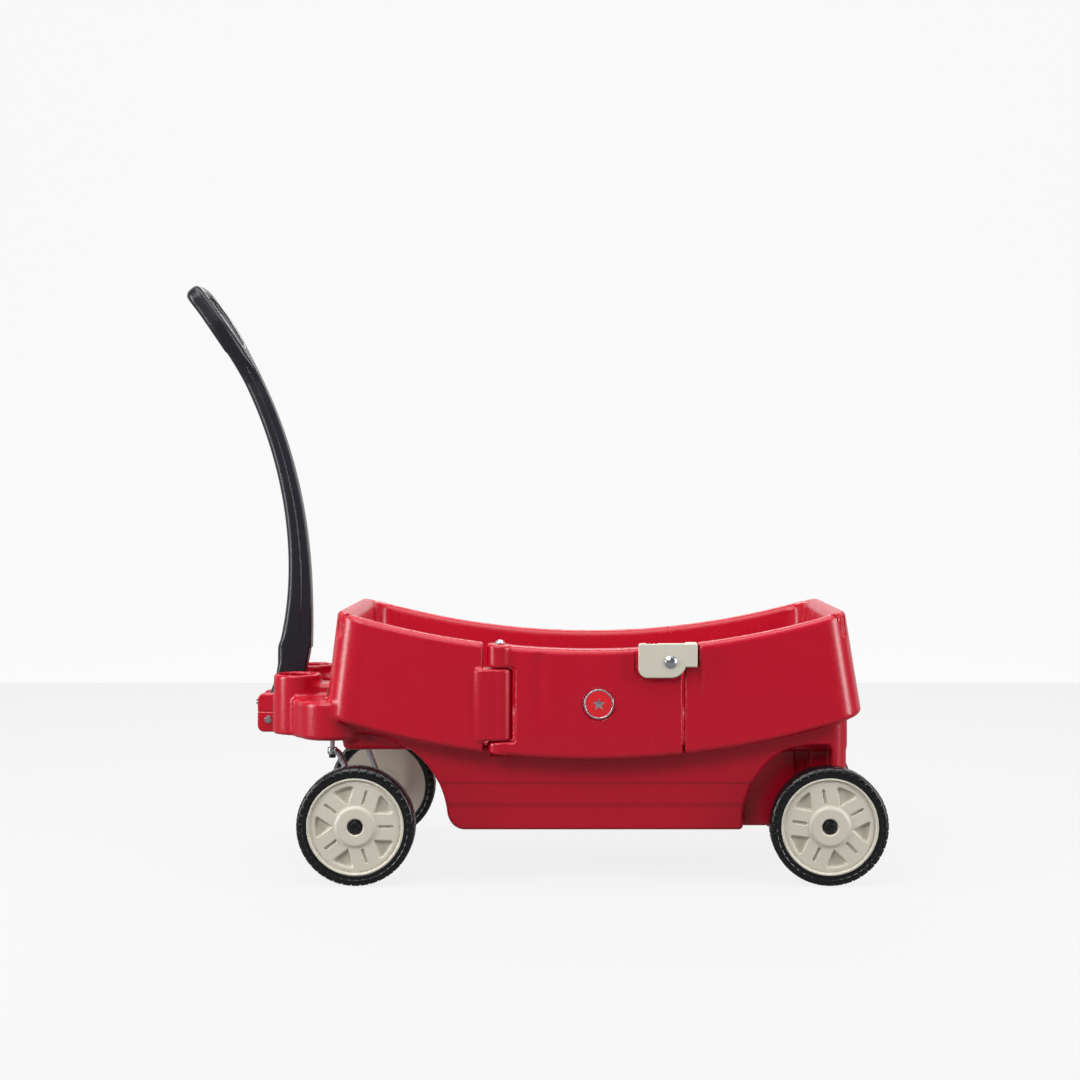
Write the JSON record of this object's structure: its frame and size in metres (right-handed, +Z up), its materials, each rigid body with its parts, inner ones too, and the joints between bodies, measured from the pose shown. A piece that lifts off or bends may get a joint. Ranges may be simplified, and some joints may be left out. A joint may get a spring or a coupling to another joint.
{
  "type": "kids pull wagon",
  "caption": "Moulded pull wagon with facing seats, a hinged side door with a latch, cup holders, a folding pull handle and swivelling front casters",
  "frame": {"origin": "on the ground, under the middle of the wagon's overall length and width", "axes": "+X to the rear, -X to the pull handle, -Y to the door side, +Z up"},
  "size_m": [1.2448, 0.48, 1.0508],
  "materials": {
    "body_plastic": "semi-gloss moulded polyethylene, crimson",
    "badge_plastic": "gloss moulded disc, brighter red",
    "cream_plastic": "satin moulded polyethylene, cream",
    "tyre_plastic": "satin black treaded tyre",
    "handle_plastic": "satin black moulded polyethylene",
    "black_plastic": "gloss black moulded nylon",
    "nylon": "natural nylon",
    "zinc_steel": "bright zinc-plated steel"
  },
  "bodies": {
    "body": {"front_wall": "body_plastic", "rear_wall": "body_plastic", "far_wall": "body_plastic", "near_front_wall": "body_plastic", "near_rear_wall": "body_plastic", "footwell_tub": "body_plastic", "front_seat": "body_plastic", "rear_seat": "body_plastic", "front_deck": "body_plastic", "pull_bracket": "body_plastic", "bracket_screws": "zinc_steel", "kingpin_bushings": "nylon", "rear_axle": "zinc_steel", "rear_axle_spacers": "black_plastic", "rear_axle_caps": "black_plastic", "hinge_pin": "zinc_steel", "hinge_pin_cap": "zinc_steel", "hinge_pin_clip": "black_plastic", "handle_bolt": "zinc_steel", "handle_nut": "zinc_steel", "handle_washers": "nylon"},
    "door": {"side_door": "body_plastic", "door_badge": "badge_plastic", "latch_bolt": "zinc_steel", "latch_washer": "nylon", "latch_nut": "zinc_steel"},
    "door_latch": {"latch": "cream_plastic"},
    "handle": {"pull_handle": "handle_plastic"},
    "caster_near": {"caster_leg_near": "zinc_steel", "kingpin_near": "zinc_steel", "kingpin_cap_near": "black_plastic", "thrust_washer_near": "zinc_steel", "leg_plug_near": "black_plastic", "front_axle_cap_near": "black_plastic"},
    "caster_far": {"caster_leg_far": "zinc_steel", "kingpin_far": "zinc_steel", "kingpin_cap_far": "black_plastic", "thrust_washer_far": "zinc_steel", "leg_plug_far": "black_plastic", "front_axle_cap_far": "black_plastic"},
    "wheel_front_near": {"tyre_front_near": "tyre_plastic", "hub_front_near": "cream_plastic", "bushing_front_near": "nylon"},
    "wheel_front_far": {"tyre_front_far": "tyre_plastic", "hub_front_far": "cream_plastic", "bushing_front_far": "nylon"},
    "wheel_rear_near": {"tyre_rear_near": "tyre_plastic", "hub_rear_near": "cream_plastic", "bushing_rear_near": "nylon"},
    "wheel_rear_far": {"tyre_rear_far": "tyre_plastic", "hub_rear_far": "cream_plastic", "bushing_rear_far": "nylon"}
  },
  "joints": [
    {"name": "door_swing", "type": "hinge", "parent": "body", "child": "door", "pos_m": [-0.044, -0.206, 0.3], "axis": [0, 0, -1], "range_deg": [0, 95]},
    {"name": "latch_turn", "type": "hinge", "parent": "door", "child": "door_latch", "pos_m": [0.249, -0.226, 0.383], "axis": [0, -1, 0], "range_deg": [0, 35]},
    {"name": "handle_fold", "type": "hinge", "parent": "body", "child": "handle", "pos_m": [-0.472, 0, 0.26], "axis": [0, -1, 0], "range_deg": [0, 95]},
    {"name": "caster_turn_near", "type": "hinge", "parent": "body", "child": "caster_near", "pos_m": [-0.341, -0.145, 0.27], "axis": [0, 0, 1], "continuous": true},
    {"name": "caster_turn_far", "type": "hinge", "parent": "body", "child": "caster_far", "pos_m": [-0.341, 0.145, 0.27], "axis": [0, 0, 1], "continuous": true},
    {"name": "wheel_spin_front_near", "type": "hinge", "parent": "caster_near", "child": "wheel_front_near", "pos_m": [-0.29, -0.218, 0.1015], "axis": [0, 1, 0], "continuous": true},
    {"name": "wheel_spin_front_far", "type": "hinge", "parent": "caster_far", "child": "wheel_front_far", "pos_m": [-0.29, 0.218, 0.1015], "axis": [0, 1, 0], "continuous": true},
    {"name": "wheel_spin_rear_near", "type": "hinge", "parent": "body", "child": "wheel_rear_near", "pos_m": [0.521, -0.218, 0.1015], "axis": [0, 1, 0], "continuous": true},
    {"name": "wheel_spin_rear_far", "type": "hinge", "parent": "body", "child": "wheel_rear_far", "pos_m": [0.521, 0.218, 0.1015], "axis": [0, 1, 0], "continuous": true}
  ]
}
